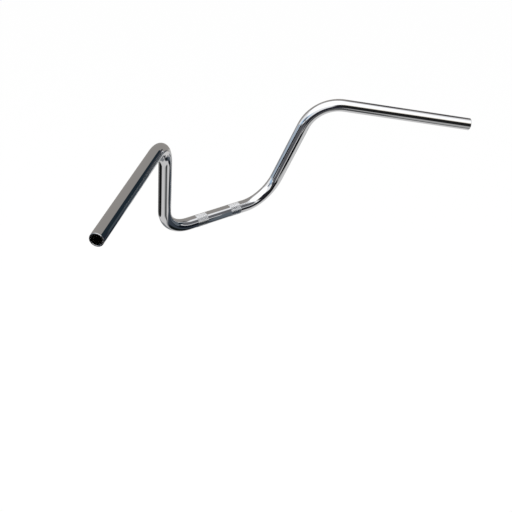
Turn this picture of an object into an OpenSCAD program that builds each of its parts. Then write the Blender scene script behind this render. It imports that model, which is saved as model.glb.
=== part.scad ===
// Ape hanger handlebar: one steel tube, bent four times and open at both ends.
// +X is the rider's right, +Y is forward and +Z is up, in millimetres.
// The origin is the middle of the straight that the risers clamp.

/* [Tube] */
// Outside diameter of the tube
tube_d = 25.4; // [22.2:0.1:31.8]
// Wall thickness of the tube
tube_wall = 2.4; // [1.6:0.1:3.6]
// How much both faces of the wall draw in where the tube is bent
bend_draw = 0.05; // [0.04:0.01:0.2]

/* [Clamp section] */
// Length of the straight between the two low bends
clamp_length = 152.4; // [110:0.1:220]
// Centreline radius of the low bends
low_bend_r = 76.2; // [45:0.1:110]

/* [Uprights] */
// Length of the straight in each upright
upright_length = 129; // [40:0.5:420]
// Outward lean of each upright, seen square to the plane that holds both
upright_spread = 13; // [0:0.1:25]
// Rearward lean of the plane that holds both uprights
upright_lean = 22.3; // [0:0.1:40]

/* [Grip sections] */
// Centreline radius of the top bends
top_bend_r = 76.2; // [45:0.1:110]
// Length of the straight that takes the grip and the controls
grip_length = 277; // [180:1:330]
// Rearward sweep of each grip section, seen from above
grip_sweep = 33.6; // [0:0.1:55]
// Downward slope of each grip section, towards its end
grip_drop = 10.7; // [0:0.1:25]

/* [Open ends] */
// Bevel on the outer edge of each open end
rim_bevel = 0.6; // [0.2:0.1:0.7]
// Bevel on the inner edge of each open end
bore_bevel = 0.5; // [0.2:0.1:0.7]

/* [Hidden] */
$fn = 96;

tube_r = tube_d / 2;
bore_r = tube_r - tube_wall;

// How far the tube of a bend runs on inside the wall of the straight next to it
bend_seat = 1;

// Direction of the tube along each of its straights, on the rider's right
clamp_dir = [1, 0, 0];
upright_dir = [
    sin(upright_spread),
    -cos(upright_spread) * sin(upright_lean),
    cos(upright_spread) * cos(upright_lean)
];
grip_dir = [
    cos(grip_sweep) * cos(grip_drop),
    -sin(grip_sweep) * cos(grip_drop),
    -sin(grip_drop)
];

// What the bender is set to: the angle of each bend, and how far the tube is
// turned about its own line between the plane of one bend and the next
low_bend = acos(clamp_dir * upright_dir);
top_bend = acos(upright_dir * grip_dir);
low_turn = upright_lean;
low_normal = unit(cross(clamp_dir, upright_dir));
top_turn = atan2(grip_dir * low_normal, grip_dir * cross(low_normal, upright_dir));

function unit(v) = v / norm(v);

// Cross-section of the tube, with both faces of its wall drawn in by the same amount
module tube_section(draw = 0) {
    difference() {
        circle(r = tube_r - draw);
        circle(r = bore_r + draw);
    }
}

// Straight tube along +Z. What follows it starts at its far end.
module straight(length) {
    linear_extrude(length) tube_section();
    translate([0, 0, length]) children();
}

// Bend that starts along +Z and curls towards +X, turned about +Z beforehand.
// Both its ends are seated in the straights. What follows it starts at its far end.
module bend(radius, angle, turn) {
    seat_angle = atan(bend_seat / radius);
    rotate([0, 0, turn]) translate([radius, 0, 0]) {
        rotate([90, 0, 180])
            rotate_extrude(start = -seat_angle, angle = angle + 2 * seat_angle)
                translate([radius, 0]) tube_section(bend_draw);
        rotate([0, angle, 0]) translate([-radius, 0, 0]) children();
    }
}

// Straight that carries the grip, along +Z, with its open end deburred
module grip_section(length) {
    rotate_extrude() polygon([
        [bore_r, 0],
        [tube_r, 0],
        [tube_r, length - rim_bevel],
        [tube_r - rim_bevel, length],
        [bore_r + bore_bevel, length],
        [bore_r, length - bore_bevel]
    ]);
}

// Straight that the risers clamp, across the middle of the bar
module clamp_section() {
    rotate([0, 90, 0])
        linear_extrude(clamp_length, center = true) tube_section();
}

// Rider's right side of the bar, from the end of the clamp section to the open end
module side() {
    translate([clamp_length / 2, 0, 0])
        rotate([180, -90, 0])
            bend(low_bend_r, low_bend, low_turn)
                straight(upright_length)
                    bend(top_bend_r, top_bend, top_turn)
                        grip_section(grip_length);
}

// The whole bar, in one piece
module handlebar() {
    color("silver") {
        clamp_section();
        side();
        mirror([1, 0, 0]) side();
    }
}

handlebar();
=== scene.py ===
from math import atan2, cos, pi, radians, sin, tan

import bmesh
import bpy
from mathutils import Matrix, Vector


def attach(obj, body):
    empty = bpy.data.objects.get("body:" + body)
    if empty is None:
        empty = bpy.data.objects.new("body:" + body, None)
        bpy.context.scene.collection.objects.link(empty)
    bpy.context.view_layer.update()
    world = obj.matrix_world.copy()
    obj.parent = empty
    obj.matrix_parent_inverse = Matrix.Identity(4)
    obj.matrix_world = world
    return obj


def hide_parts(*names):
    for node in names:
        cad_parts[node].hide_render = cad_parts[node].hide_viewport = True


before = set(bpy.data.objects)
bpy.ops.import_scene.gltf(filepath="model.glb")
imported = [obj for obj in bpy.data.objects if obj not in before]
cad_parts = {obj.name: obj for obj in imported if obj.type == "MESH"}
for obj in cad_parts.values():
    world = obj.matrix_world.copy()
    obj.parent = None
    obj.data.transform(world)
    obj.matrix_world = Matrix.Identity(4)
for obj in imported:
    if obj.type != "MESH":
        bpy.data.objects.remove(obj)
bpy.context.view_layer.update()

mm = 0.001
tolerance = 0.01 * mm                # what is closer than this counts as the same place


def selectOnly(obj):
    bpy.ops.object.select_all(action="DESELECT")
    obj.select_set(True)
    bpy.context.view_layer.objects.active = obj


def startEditing(obj):
    selectOnly(obj)
    bpy.ops.object.mode_set(mode="EDIT")
    bpy.ops.mesh.select_mode(type="VERT")
    bpy.ops.mesh.select_all(action="DESELECT")


# Selects the parts of a mesh that a test picks out, in edit mode
def pick(obj, kind, wanted):
    bpy.ops.mesh.select_mode(type=kind)
    bpy.ops.mesh.select_all(action="DESELECT")
    mesh = bmesh.from_edit_mesh(obj.data)
    for part in {"VERT": mesh.verts, "EDGE": mesh.edges, "FACE": mesh.faces}[kind]:
        if wanted(part):
            part.select_set(True)
    mesh.select_flush_mode()
    bmesh.update_edit_mesh(obj.data)


def applyModifier(obj, modifier):
    selectOnly(obj)
    bpy.ops.object.modifier_apply(modifier=modifier.name)


def nearTo(value, target):
    return abs(value - target) < tolerance


# The bar in millimetres and degrees, the same sizes as in the CAD model
bar = {
    "tubeDiameter": 25.4,
    "tubeWall": 2.4,
    "clampLength": 152.4,
    "lowBendRadius": 76.2,
    "uprightLength": 129,
    "uprightSpread": 13,
    "uprightLean": 22.3,
    "topBendRadius": 76.2,
    "gripLength": 277,
    "gripSweep": 33.6,
    "gripDrop": 10.7,
    "rimBevel": 0.6,
    "boreBevel": 0.5,
    "rimSteps": 3,           # faces across each bevel
    "sides": 72,             # faces round the tube
    "bendSteps": 36,         # rings in each bend
    "uprightSteps": 8,
    "gripSteps": 16,
    "edgeRing": 1,           # a ring this close to an edge keeps the straight's shading even
    "smoothAngle": 32,       # edges sharper than this stay sharp
}

tubeRadius = bar["tubeDiameter"] / 2 * mm
boreRadius = tubeRadius - bar["tubeWall"] * mm
midWall = (tubeRadius + boreRadius) / 2      # between the outside of the wall and its inside
spread, lean = radians(bar["uprightSpread"]), radians(bar["uprightLean"])
sweep, drop = radians(bar["gripSweep"]), radians(bar["gripDrop"])
clampWay = Vector((1, 0, 0))
uprightWay = Vector((sin(spread), -cos(spread) * sin(lean), cos(spread) * cos(lean)))
gripWay = Vector((cos(sweep) * cos(drop), -sin(sweep) * cos(drop), -sin(drop)))


# One length of the bar: where it starts, how long it is and where it ends
def straightOf(start, way, length):
    return {"start": start, "way": way, "length": length, "end": start + way * length}


def bendOf(start, way, nextWay, radius):
    axis = way.cross(nextWay).normalized()
    centre = start + axis.cross(way) * radius
    angle = way.angle(nextWay)
    end = centre + Matrix.Rotation(angle, 3, axis) @ (start - centre)
    return {"start": start, "centre": centre, "axis": axis, "angle": angle,
            "length": radius * angle, "end": end}


# The rider's right half of the bar, from the middle of the clamp section to the open end
clampHalf = straightOf(Vector((0, 0, 0)), clampWay, bar["clampLength"] / 2 * mm)
lowBend = bendOf(clampHalf["end"], clampWay, uprightWay, bar["lowBendRadius"] * mm)
upright = straightOf(lowBend["end"], uprightWay, bar["uprightLength"] * mm)
topBend = bendOf(upright["end"], uprightWay, gripWay, bar["topBendRadius"] * mm)
grip = straightOf(topBend["end"], gripWay, bar["gripLength"] * mm)
course = [clampHalf, lowBend, upright, topBend, grip]
halfLength = sum(length["length"] for length in course)


def drawOut(move, steps=1):
    for _ in range(steps):
        bpy.ops.mesh.extrude_region_move(TRANSFORM_OT_translate={"value": move / steps})


def drawBend(bend):
    bpy.ops.mesh.spin(steps=bar["bendSteps"], angle=-bend["angle"],
                      center=bend["centre"], axis=bend["axis"])


# Two knurled bands on the clamp section, under the risers, in millimetres
knurl = {
    "start": 30.5,           # from the middle of the clamp section
    "end": 58.5,
    "rows": 25,
    "sink": 0.12,            # how far the ground between the diamonds is pressed in
    "rise": 0.22,            # height of a diamond above that ground
}


# Draws one half of the tube along its course, mirrors it and gives it its wall
def makeTube():
    bpy.ops.object.select_all(action="DESELECT")
    bpy.ops.mesh.primitive_circle_add(vertices=bar["sides"], radius=tubeRadius,
                                      fill_type="NOTHING", rotation=(0, radians(90), 0))
    tube = bpy.context.active_object
    tube.name = tube.data.name = "bentTube"
    bpy.ops.object.transform_apply(location=True, rotation=True, scale=True)
    startEditing(tube)
    bpy.ops.mesh.select_all(action="SELECT")
    knurlStart, knurlEnd = clampWay * knurl["start"] * mm, clampWay * knurl["end"] * mm
    beside = clampWay * bar["edgeRing"] * mm
    drawOut(knurlStart - beside, 2)
    drawOut(beside)
    drawOut(knurlEnd - knurlStart)
    drawOut(beside)
    drawOut(clampHalf["end"] - knurlEnd - beside)
    drawBend(lowBend)
    drawOut(upright["end"] - upright["start"], bar["uprightSteps"])
    drawBend(topBend)
    lastRing = gripWay * bar["edgeRing"] * mm
    drawOut(grip["end"] - grip["start"] - lastRing, bar["gripSteps"])
    drawOut(lastRing)
    bpy.ops.object.mode_set(mode="OBJECT")

    mirror = tube.modifiers.new("otherSide", "MIRROR")
    mirror.use_clip = True
    mirror.merge_threshold = tolerance
    applyModifier(tube, mirror)
    startEditing(tube)
    bpy.ops.mesh.select_all(action="SELECT")
    bpy.ops.mesh.remove_doubles(threshold=tolerance)
    bpy.ops.mesh.normals_make_consistent(inside=False)
    bpy.ops.object.mode_set(mode="OBJECT")
    wall = tube.modifiers.new("wall", "SOLIDIFY")
    wall.thickness = bar["tubeWall"] * mm
    wall.offset = -1
    wall.use_even_offset = True
    applyModifier(tube, wall)
    return tube


# Takes the corner off both edges of each open end
def bevelRims(tube):
    slack = 0.2 * mm         # how far a corner of the facets may be off its circle
    startEditing(tube)
    for edgeRadius, width in ((tubeRadius, bar["rimBevel"]), (boreRadius, bar["boreBevel"])):
        def onRim(vert):
            point = Vector((abs(vert.co.x), vert.co.y, vert.co.z)) - grip["end"]
            out = point.dot(gripWay)
            return nearTo(out, 0) and abs((point - gripWay * out).length - edgeRadius) < slack
        pick(tube, "EDGE", lambda edge: all(onRim(vert) for vert in edge.verts))
        bpy.ops.mesh.bevel(offset=width * mm, offset_type="OFFSET", segments=bar["rimSteps"],
                           affect="EDGES")
    bpy.ops.object.mode_set(mode="OBJECT")


# Rolls the diamonds into the bands: the rows are cut and pressed in, their faces are turned
# into a slanted net, and each mesh of the net is raised to a point
def rollKnurl(tube):
    bandStart, bandEnd = knurl["start"] * mm, knurl["end"] * mm
    rowLength = (bandEnd - bandStart) / knurl["rows"]

    def onBand(vert):
        fromLine = (vert.co.y ** 2 + vert.co.z ** 2) ** 0.5
        return bandStart - tolerance < abs(vert.co.x) < bandEnd + tolerance and fromLine > midWall

    def insideBand(vert):
        along = abs(vert.co.x)
        return onBand(vert) and not nearTo(along, bandStart) and not nearTo(along, bandEnd)

    def allOnBand(part):
        return all(onBand(vert) for vert in part.verts)

    def lengthwise(edge):
        return abs(edge.verts[0].co.x - edge.verts[1].co.x) > rowLength * 0.75

    def roundwise(edge):
        return nearTo(edge.verts[0].co.x, edge.verts[1].co.x)

    startEditing(tube)
    pick(tube, "EDGE", lambda edge: allOnBand(edge) and lengthwise(edge))
    bpy.ops.mesh.subdivide_edgering(number_cuts=knurl["rows"] - 1)
    pick(tube, "VERT", insideBand)
    sunk = 1 - knurl["sink"] * mm / tubeRadius
    bpy.ops.transform.resize(value=(1, sunk, sunk), center_override=(0, 0, 0))
    pick(tube, "FACE", allOnBand)
    bpy.ops.mesh.poke()
    pick(tube, "EDGE", lambda edge: allOnBand(edge) and (
        lengthwise(edge) or roundwise(edge) and all(insideBand(vert) for vert in edge.verts)))
    bpy.ops.mesh.dissolve_edges(use_verts=False)
    pick(tube, "FACE", lambda face: len(face.verts) == 4 and allOnBand(face))
    bpy.ops.mesh.poke(offset=knurl["rise"] * mm)
    bpy.ops.object.mode_set(mode="OBJECT")


# Where a point of the tube was before the tube was bent, so that a finish can follow the bends
def unbent(point):
    here = Vector((abs(point.x), point.y, point.z))
    turned, reached = Matrix.Identity(3), 0      # how far the tube has turned and run so far
    nearest, straight = None, None
    for length in course:
        if "way" in length:
            far = max((here - length["start"]).dot(length["way"]), 0)
            if length is not grip:
                far = min(far, length["length"])
            foot, turnedHere = length["start"] + length["way"] * far, turned
        else:
            spoke, arm = length["start"] - length["centre"], here - length["centre"]
            turn = atan2(spoke.cross(arm).dot(length["axis"]), spoke.dot(arm))
            turn = min(max(turn, 0), length["angle"])
            rotation = Matrix.Rotation(turn, 3, length["axis"])
            foot, turnedHere = length["centre"] + rotation @ spoke, rotation @ turned
            far = length["length"] * turn / length["angle"]
            turned = Matrix.Rotation(length["angle"], 3, length["axis"]) @ turned
        gap = (here - foot).length
        if nearest is None or gap < nearest:
            nearest = gap
            offset = turnedHere.transposed() @ (here - foot)
            straight = Vector((reached + far + offset.x, offset.y, offset.z))
        reached += length["length"]
    if point.x < 0:
        straight.x = -straight.x
    return straight


def markUnbent(tube):
    places = tube.data.attributes.new("unbentTube", "FLOAT_VECTOR", "POINT")
    for vert in tube.data.vertices:
        places.data[vert.index].vector = unbent(vert.co)


tube = makeTube()
bevelRims(tube)
rollKnurl(tube)
markUnbent(tube)
selectOnly(tube)
bpy.ops.object.shade_smooth_by_angle(angle=radians(bar["smoothAngle"]))
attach(tube, "root")
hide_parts("handlebar")
print("tube made,", len(tube.data.polygons), "faces")


# Helpers for shader trees, where a value is either a plain number or another node's output
def join(tree, value, socket):
    if isinstance(value, bpy.types.NodeSocket):
        tree.links.new(value, socket)
    else:
        socket.default_value = value


def calculate(tree, operation, *values):
    node = tree.nodes.new("ShaderNodeMath")
    node.operation = operation
    for value, socket in zip(values, node.inputs):
        join(tree, value, socket)
    return node.outputs[0]


# Rises softly from 0 to 1 between two values, or falls where the first is the larger
def fade(tree, value, start, end):
    node = tree.nodes.new("ShaderNodeMapRange")
    node.interpolation_type = "SMOOTHSTEP"
    join(tree, value, node.inputs["Value"])
    join(tree, start, node.inputs["From Min"])
    join(tree, end, node.inputs["From Max"])
    return node.outputs["Result"]


# A node group with its own inputs and one output
def newGroup(name, inputs, output):
    group = bpy.data.node_groups.new(name, "ShaderNodeTree")
    for title in inputs:
        group.interface.new_socket(title, in_out="INPUT", socket_type="NodeSocketFloat")
    group.interface.new_socket(output, in_out="OUTPUT", socket_type="NodeSocketFloat")
    given = group.nodes.new("NodeGroupInput").outputs
    return group, given, group.nodes.new("NodeGroupOutput").inputs[0]


def placeGroup(tree, group, values):
    node = tree.nodes.new("ShaderNodeGroup")
    node.node_tree = group
    for title, value in values.items():
        node.inputs[title].default_value = value
    return node.outputs[0]


# Where the shaded point was on the straight tube
def tubePlace(tree):
    place = tree.nodes.new("ShaderNodeAttribute")
    place.attribute_name = "unbentTube"
    return place.outputs["Vector"]


# How far it was from the middle of the tube, and from the tube's line
def tubeMeasures(tree):
    split = tree.nodes.new("ShaderNodeSeparateXYZ")
    tree.links.new(tubePlace(tree), split.inputs[0])
    x, y, z = split.outputs
    squares = calculate(tree, "ADD", calculate(tree, "MULTIPLY", y, y),
                        calculate(tree, "MULTIPLY", z, z))
    return calculate(tree, "ABSOLUTE", x), calculate(tree, "SQRT", squares)


# Noise on the straight tube, drawn out along it
def tubeNoise(tree, size, stretch, detail):
    squeeze = tree.nodes.new("ShaderNodeVectorMath")
    squeeze.operation = "MULTIPLY"
    tree.links.new(tubePlace(tree), squeeze.inputs[0])
    shrink = tree.nodes.new("ShaderNodeCombineXYZ")
    join(tree, calculate(tree, "DIVIDE", 1, stretch), shrink.inputs[0])
    shrink.inputs[1].default_value = shrink.inputs[2].default_value = 1
    tree.links.new(shrink.outputs[0], squeeze.inputs[1])
    noise = tree.nodes.new("ShaderNodeTexNoise")
    tree.links.new(squeeze.outputs[0], noise.inputs["Vector"])
    join(tree, calculate(tree, "DIVIDE", 1, size), noise.inputs["Scale"])
    noise.inputs["Detail"].default_value = detail
    return noise.outputs[0]


def makePolishLines():
    group, given, out = newGroup("polishLines", ("Width", "Stretch"), "Lines")
    noise = tubeNoise(group, given["Width"], given["Stretch"], 2)
    join(group, fade(group, noise, 0.35, 0.65), out)     # the noise keeps round 0.5
    return group


# The tube is never quite true: long soft waves that bend the reflections
def makeSoftWaves():
    group, given, out = newGroup("softWaves", ("Length", "Stretch"), "Height")
    join(group, tubeNoise(group, given["Length"], given["Stretch"], 0), out)
    return group


# Thin haze that wiping and handling leave: the more cover, the lower the noise it starts at
def makeHaze():
    group, given, out = newGroup("wipedHaze", ("Size", "Stretch", "Cover", "Edge"), "Haze")
    noise = tubeNoise(group, given["Size"], given["Stretch"], 4)
    start = calculate(group, "MULTIPLY_ADD", given["Cover"], -0.5, 0.75)
    end = calculate(group, "ADD", start, given["Edge"])
    join(group, fade(group, noise, start, end), out)
    return group


# 1 deep in the tube, where no plating reaches, and 0 on its outside and at its mouth
def makeBareBore():
    group, given, out = newGroup("bareBore", ("Half Length", "Plated Depth", "Fade", "Radius"),
                                 "Bare")
    along, radius = tubeMeasures(group)
    mouth = calculate(group, "SUBTRACT", given["Half Length"], given["Plated Depth"])
    deep = fade(group, along, mouth, calculate(group, "SUBTRACT", mouth, given["Fade"]))
    inside = calculate(group, "LESS_THAN", radius, given["Radius"])
    join(group, calculate(group, "MULTIPLY", deep, inside), out)
    return group


# 1 on the knurled bands
def makeKnurlZone():
    group, given, out = newGroup("knurlZone", ("Start", "End", "Inner Radius"), "Knurl")
    along, radius = tubeMeasures(group)
    band = calculate(group, "MULTIPLY", calculate(group, "GREATER_THAN", along, given["Start"]),
                     calculate(group, "LESS_THAN", along, given["End"]))
    outside = calculate(group, "GREATER_THAN", radius, given["Inner Radius"])
    join(group, calculate(group, "MULTIPLY", band, outside), out)
    return group


# 1 on the deburred edge of an open end
def makeRimZone():
    group, given, out = newGroup("rimZone", ("Half Length", "Width"), "Rim")
    along = tubeMeasures(group)[0]
    start = calculate(group, "SUBTRACT", given["Half Length"], given["Width"])
    join(group, fade(group, along, start, given["Half Length"]), out)
    return group


def addBump(tree, height, distance, normal=None):
    bump = tree.nodes.new("ShaderNodeBump")
    bump.inputs["Distance"].default_value = distance
    tree.links.new(height, bump.inputs["Height"])
    if normal:
        tree.links.new(normal, bump.inputs["Normal"])
    return bump.outputs[0]


finish = {
    "chrome": (0.77, 0.78, 0.80, 1),
    "bareSteel": (0.30, 0.27, 0.24, 1),
    "polishLines": {"Width": 0.6 * mm, "Stretch": 60},
    "softWaves": {"Length": 22 * mm, "Stretch": 2.5},
    "wipedHaze": {"Size": 26 * mm, "Stretch": 3, "Cover": 0.4, "Edge": 0.2},
    "knurlZone": {"Start": knurl["start"] * mm, "End": knurl["end"] * mm,
                  "Inner Radius": midWall},
    "rimZone": {"Half Length": halfLength, "Width": 0.8 * mm},
    "bareBore": {"Half Length": halfLength, "Plated Depth": 8 * mm, "Fade": 22 * mm,
                 "Radius": boreRadius + 0.3 * mm},
    "roughness": 0.018,
    "hazeRoughness": 0.035,      # these are added to it in their places
    "lineRoughness": 0.012,
    "knurlRoughness": 0.12,
    "rimRoughness": 0.10,
    "bareRoughness": 0.5,
    "waveHeight": 0.035 * mm,
    "lineHeight": 0.0004 * mm,
}


def makeChrome():
    chrome = bpy.data.materials.new("chromePlate")
    chrome.use_nodes = True
    tree = chrome.node_tree
    shader = tree.nodes["Principled BSDF"]
    lines = placeGroup(tree, makePolishLines(), finish["polishLines"])
    waves = placeGroup(tree, makeSoftWaves(), finish["softWaves"])
    haze = placeGroup(tree, makeHaze(), finish["wipedHaze"])
    knurled = placeGroup(tree, makeKnurlZone(), finish["knurlZone"])
    rim = placeGroup(tree, makeRimZone(), finish["rimZone"])
    bare = placeGroup(tree, makeBareBore(), finish["bareBore"])

    colour = tree.nodes.new("ShaderNodeMix")
    colour.data_type = "RGBA"
    tree.links.new(bare, colour.inputs["Factor"])
    colour.inputs[6].default_value = finish["chrome"]        # the two colours that it mixes
    colour.inputs[7].default_value = finish["bareSteel"]
    tree.links.new(colour.outputs[2], shader.inputs["Base Color"])
    shader.inputs["Metallic"].default_value = 1
    roughness = finish["roughness"]
    for zone, more in ((haze, "hazeRoughness"), (lines, "lineRoughness"),
                       (knurled, "knurlRoughness"), (rim, "rimRoughness"),
                       (bare, "bareRoughness")):
        roughness = calculate(tree, "MULTIPLY_ADD", zone, finish[more], roughness)
    tree.links.new(roughness, shader.inputs["Roughness"])
    normal = addBump(tree, waves, finish["waveHeight"])
    normal = addBump(tree, lines, finish["lineHeight"], normal)
    tree.links.new(normal, shader.inputs["Normal"])
    return chrome


tube.data.materials.append(makeChrome())
print("chrome made")

# The camera, at the photograph's viewing angle
camera = {
    "place": (-1.2419, -1.5086, 0.7733),
    "pitch": 23.973,         # degrees down from level
    "yaw": 41.875,           # degrees from +Y towards +X
    "lens": 70.586,          # millimetres, as the sensor is
    "sensor": 36,
    "nearest": 0.05,         # metres from the camera at which it begins to see
}

bpy.ops.object.camera_add(location=camera["place"],
                          rotation=(radians(90 - camera["pitch"]), 0, -radians(camera["yaw"])))
bpy.context.scene.camera = bpy.context.active_object
bpy.context.scene.camera.data.sensor_width = camera["sensor"]
bpy.context.scene.camera.data.lens = camera["lens"]
bpy.context.scene.camera.data.clip_start = camera["nearest"]
bpy.context.scene.view_settings.view_transform = "Standard"

studio = {
    "floorDrop": 0.95,       # metres from the clamp section down to the floor
    "floorSize": 60,
    "floorShade": 0.95,
    "floorRoughness": 0.9,
    "floorGlow": 0.85,       # how much of the floor's white is its own, where it is looked at
    "softboxPlace": (-1.9, -2.6, 3),
    "softboxTurn": 9,        # degrees round the upright line
    "softboxSize": (7, 9.6),
    "softboxShade": 0.35,
}


# 1 for what the eye, a reflection or a transparent part looks at, and 0 for what only lights
def lookedAt(tree):
    path = tree.nodes.new("ShaderNodeLightPath").outputs
    looked = path["Is Camera Ray"]
    for name in ("Is Glossy Ray", "Is Transmission Ray"):
        looked = calculate(tree, "MAXIMUM", looked, path[name])
    return looked


def blendShaders(tree, share, under, over):
    blend = tree.nodes.new("ShaderNodeMixShader")
    tree.links.new(share, blend.inputs[0])
    tree.links.new(under, blend.inputs[1])
    tree.links.new(over, blend.inputs[2])
    return blend.outputs[0]


def makeWorld():
    world = bpy.data.worlds.new("studioWorld")
    bpy.context.scene.world = world
    world.use_nodes = True
    white = world.node_tree.nodes["Background"]
    white.inputs["Color"].default_value = (1, 1, 1, 1)
    white.inputs["Strength"].default_value = 1


# The floor is seen from above only, so that the bar can be looked at from below too
def makeFloor():
    bpy.ops.mesh.primitive_plane_add(size=studio["floorSize"],
                                     location=(0, 0, -studio["floorDrop"]))
    floor = bpy.context.active_object
    floor.name = "floor"
    # The chrome does not mirror the floor: the painted card paleGround stands in for it in
    # reflections
    floor.visible_glossy = False
    paper = bpy.data.materials.new("palePaper")
    paper.use_nodes = True
    tree = paper.node_tree
    shader = tree.nodes["Principled BSDF"]
    shader.inputs["Base Color"].default_value = (studio["floorShade"],) * 3 + (1,)
    shader.inputs["Roughness"].default_value = studio["floorRoughness"]
    shader.inputs["Specular IOR Level"].default_value = 0
    glow = tree.nodes.new("ShaderNodeEmission")
    share = calculate(tree, "MULTIPLY", lookedAt(tree), studio["floorGlow"])
    both = blendShaders(tree, share, shader.outputs[0], glow.outputs[0])
    side = tree.nodes.new("ShaderNodeNewGeometry")
    clear = tree.nodes.new("ShaderNodeBsdfTransparent")
    both = blendShaders(tree, side.outputs["Backfacing"], both, clear.outputs[0])
    tree.links.new(both, tree.nodes["Material Output"].inputs["Surface"])
    floor.data.materials.append(paper)


def makeSoftbox():
    width, depth = studio["softboxSize"]
    bpy.ops.object.light_add(type="AREA", location=studio["softboxPlace"],
                             rotation=(0, 0, radians(studio["softboxTurn"])))
    lamp = bpy.context.active_object
    lamp.name = "softbox"
    lamp.data.shape = "RECTANGLE"
    lamp.data.size = width
    lamp.data.size_y = depth
    lamp.data.energy = studio["softboxShade"] * pi * width * depth
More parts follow.
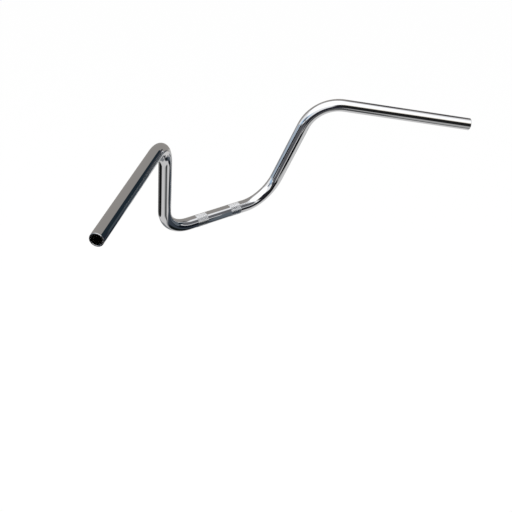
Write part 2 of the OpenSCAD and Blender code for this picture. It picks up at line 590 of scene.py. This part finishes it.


# Painted reflections: glowing cards round the bar, which only its reflections see, so their
# shades are painted into the chrome. The paler ones are painted reflections of surroundings,
# named for what they stand in for, and the dark ones are painted dark reflections, painted
# shade. A card with a place that it is seen from stands close to that part of the bar and
# paints its reflection mainly there. Each stands square to the line from the middle of the
# bar, or from the place that it is seen from, in metres. Azimuth runs from +Y towards +X and
# elevation from level. Width and height are how large the card looks from there, and tilt
# turns it on that line, all in degrees. Squareness 2 is an oval, and more is squarer.
# Softness is the share of the card in which its edge fades out.
paintedReflections = {
    "paleGround": {"azimuth": 0, "elevation": -90, "distance": 10, "width": 164,
        "height": 164, "squareness": 2, "softness": 0.3, "shade": (0.67, 0.66, 0.65)},
    "greyGround": {"azimuth": -168, "elevation": -58, "distance": 8.2, "width": 40,
        "height": 44, "softness": 0.2, "shade": (0.4, 0.4, 0.39)},
    "greyFront": {"azimuth": 12, "elevation": -50, "distance": 8.4, "width": 30,
        "height": 46, "softness": 0.4, "shade": (0.22, 0.23, 0.24)},
    "warmWall": {"azimuth": 45, "elevation": 24, "distance": 9, "width": 108,
        "height": 96, "squareness": 4, "softness": 0.03, "shade": (0.33, 0.31, 0.29)},
    "nearTop": {"azimuth": 68, "elevation": 35, "distance": 0.25, "width": 40,
        "height": 44, "softness": 0.3, "shade": (0.06, 0.06, 0.07),
        "seenFrom": (0.3, -0.163, 0.2)},
    "nearTip": {"azimuth": 68, "elevation": 35, "distance": 0.25, "width": 40,
        "height": 44, "softness": 0.3, "shade": (0.06, 0.06, 0.07),
        "seenFrom": (0.42, -0.243, 0.175)},
    "wallFoot": {"azimuth": -12, "elevation": -2, "distance": 8.8, "width": 40,
        "height": 14, "softness": 0.3, "shade": (0.26, 0.29, 0.33)},
    "wallSide": {"azimuth": -18, "elevation": 20, "distance": 9.3, "width": 30,
        "height": 44, "softness": 0.5, "shade": (0.44, 0.42, 0.4)},
    "paleFoot": {"azimuth": 54, "elevation": -18, "distance": 8.8, "width": 24,
        "height": 12, "softness": 0.6, "shade": (0.58, 0.57, 0.56)},
    "navyStrip": {"azimuth": 101, "elevation": 12, "distance": 8.6, "width": 26,
        "height": 56, "tilt": 6, "softness": 0.15, "shade": (0.015, 0.025, 0.035)},
    "slate": {"azimuth": 92, "elevation": -6, "distance": 8.7, "width": 18,
        "height": 20, "softness": 0.3, "shade": (0.06, 0.075, 0.085)},
    "slateLow": {"azimuth": 87, "elevation": -22, "distance": 8.5, "width": 42,
        "height": 20, "tilt": 8, "softness": 0.25, "shade": (0.04, 0.055, 0.075)},
    "darkRight": {"azimuth": 150, "elevation": -24, "distance": 9.2, "width": 84,
        "height": 38, "softness": 0.2, "shade": (0.015, 0.015, 0.02)},
    "paleBlue": {"azimuth": -42, "elevation": 3, "distance": 8.9, "width": 52,
        "height": 12, "softness": 0.3, "shade": (0.43, 0.51, 0.6)},
    "blueSky": {"azimuth": -85, "elevation": 12, "distance": 9.4, "width": 84,
        "height": 28, "squareness": 2, "softness": 0.8, "shade": (0.39, 0.62, 0.87)},
    "beige": {"azimuth": -177, "elevation": 25, "distance": 9.1, "width": 40,
        "height": 14, "softness": 0.7, "shade": (0.66, 0.6, 0.48)},
    "greyBack": {"azimuth": 138, "elevation": 18, "distance": 9.3, "width": 56,
        "height": 44, "softness": 0.3, "shade": (0.15, 0.15, 0.16)},
    "darkBack": {"azimuth": -170, "elevation": -5, "distance": 9, "width": 48,
        "height": 68, "softness": 0.4, "shade": (0.015, 0.015, 0.015)},
    "darkSide": {"azimuth": -140, "elevation": -14, "distance": 8.9, "width": 24,
        "height": 24, "softness": 0.25, "shade": (0.01, 0.01, 0.015)},
    "brownSide": {"azimuth": -101, "elevation": -19, "distance": 9.2, "width": 68,
        "height": 34, "softness": 0.15, "shade": (0.11, 0.11, 0.12)},
    "blackEdge": {"azimuth": -72, "elevation": -5, "distance": 8.8, "width": 30,
        "height": 16, "tilt": -20, "softness": 0.2, "shade": (0.005, 0.005, 0.005)},
    "nearLine": {"azimuth": -163, "elevation": -41, "distance": 0.6, "width": 40,
        "height": 14, "tilt": 14, "softness": 0.2, "shade": (0.0025, 0.0025, 0.005),
        "seenFrom": (0.165, -0.046, 0.113)},
    "blackFront": {"azimuth": -30, "elevation": -38.5, "distance": 8, "width": 50,
        "height": 16, "tilt": 26, "softness": 0.2, "shade": (0.01, 0.01, 0.01)},
    "darkFront": {"azimuth": 14, "elevation": -22, "distance": 8.1, "width": 34,
        "height": 12, "tilt": 14, "softness": 0.3, "shade": (0.01, 0.01, 0.0075)},
    "blackLeft": {"azimuth": -93, "elevation": -43, "distance": 8.3, "width": 34,
        "height": 26, "softness": 0.3, "shade": (0.01, 0.01, 0.01)},
    "blackUnder": {"azimuth": 179, "elevation": -70.5, "distance": 8, "width": 28,
        "height": 11, "tilt": 20, "softness": 0.3, "shade": (0.005, 0.0075, 0.01)},
    "nearNavy": {"azimuth": 108, "elevation": -41, "distance": 0.3, "width": 24,
        "height": 32, "tilt": -10, "softness": 0.25, "shade": (0.0075, 0.01, 0.015),
        "seenFrom": (-0.165, -0.05, 0.11)},
    "nearSlate": {"azimuth": 91, "elevation": -34, "distance": 0.25, "width": 18,
        "height": 20, "softness": 0.2, "shade": (0.12, 0.14, 0.16),
        "seenFrom": (-0.165, -0.05, 0.11)},
    "nearBend": {"azimuth": -148, "elevation": -24, "distance": 0.3, "width": 38,
        "height": 42, "softness": 0.3, "shade": (0.02, 0.02, 0.03),
        "seenFrom": (0.203, -0.096, 0.207)},
    "nearGrip": {"azimuth": -58, "elevation": 28, "distance": 0.3, "width": 66,
        "height": 40, "softness": 0.3, "shade": (0.13, 0.14, 0.16),
        "seenFrom": (-0.357, -0.2, 0.189)},
    # A black card close to the left open end: a painted dark reflection there, painted shade
    "nearEnd": {"azimuth": -110, "elevation": -60, "distance": 0.12, "width": 84,
        "height": 72, "softness": 0.2, "shade": (0.005, 0.005, 0.005),
        "seenFrom": (-0.47, -0.277, 0.163)},
    # Dark sheets 0.1 m under the clamp section: painted shade in the reflection of its underside
    "nearUnder": {"azimuth": 0, "elevation": -90, "distance": 0.1, "width": 114,
        "height": 74, "squareness": 2, "softness": 0.3, "shade": (0.045, 0.055, 0.07),
        "seenFrom": (0, -0.03, 0)},
    "nearCore": {"azimuth": 0, "elevation": -90, "distance": 0.1, "width": 64,
        "height": 40, "squareness": 3, "softness": 0.3, "shade": (0.0075, 0.01, 0.01),
        "seenFrom": (-0.06, -0.018, 0.005)},
}
usualSquareness = 6


# 1 on the card and 0 round it, with a soft edge
def makeCardMask():
    group, given, out = newGroup("cardMask", ("Squareness", "Softness"), "Mask")
    place = group.nodes.new("ShaderNodeTexCoord")
    split = group.nodes.new("ShaderNodeSeparateXYZ")
    group.links.new(place.outputs["Object"], split.inputs[0])
    across, up = (calculate(group, "POWER", calculate(group, "ABSOLUTE", split.outputs[axis]),
                            given["Squareness"]) for axis in ("X", "Y"))
    reach = calculate(group, "POWER", calculate(group, "ADD", across, up),
                      calculate(group, "DIVIDE", 1, given["Squareness"]))
    edge = calculate(group, "SUBTRACT", 1, given["Softness"])
    join(group, fade(group, reach, 1, edge), out)
    return group


# A card's paint: its shade glows but lights nothing, a painted reflection and no lamp
def makeCardPaint(name, card, mask):
    paint = bpy.data.materials.new(name)
    paint.use_nodes = True
    paint.cycles.emission_sampling = "NONE"
    tree = paint.node_tree
    tree.nodes.remove(tree.nodes["Principled BSDF"])
    shape = placeGroup(tree, mask, {"Squareness": card.get("squareness", usualSquareness),
                                    "Softness": card["softness"]})
    clear = tree.nodes.new("ShaderNodeBsdfTransparent")
    colour = tree.nodes.new("ShaderNodeEmission")
    colour.inputs["Color"].default_value = (*card["shade"], 1)
    both = blendShaders(tree, shape, clear.outputs[0], colour.outputs[0])
    tree.links.new(both, tree.nodes["Material Output"].inputs["Surface"])
    return paint


def makeCard(name, card, mask):
    azimuth, elevation = radians(card["azimuth"]), radians(card["elevation"])
    level = Vector((sin(azimuth), cos(azimuth), 0))
    towards = level * cos(elevation) + Vector((0, 0, sin(elevation)))
    across = Vector((cos(azimuth), -sin(azimuth), 0))
    turn = Matrix((across, across.cross(towards), -towards)).transposed().to_4x4()
    turn = turn @ Matrix.Rotation(radians(card.get("tilt", 0)), 4, "Z")
    place = Vector(card.get("seenFrom", (0, 0, 0))) + towards * card["distance"]
    bpy.ops.mesh.primitive_plane_add(size=2)
    plane = bpy.context.active_object
    plane.name = name
    plane.matrix_world = Matrix.Translation(place) @ turn
    plane.scale = (card["distance"] * tan(radians(card["width"] / 2)),
                   card["distance"] * tan(radians(card["height"] / 2)), 1)
    # Only reflections see the card, so its shade shows only as a painted reflection in the chrome
    for ray in ("camera", "diffuse", "transmission", "volume_scatter", "shadow"):
        setattr(plane, "visible_" + ray, False)
    plane.data.materials.append(makeCardPaint(name, card, mask))


makeWorld()
makeFloor()
makeSoftbox()
cardMask = makeCardMask()
for name, card in paintedReflections.items():
    makeCard(name, card, cardMask)
print("studio made")
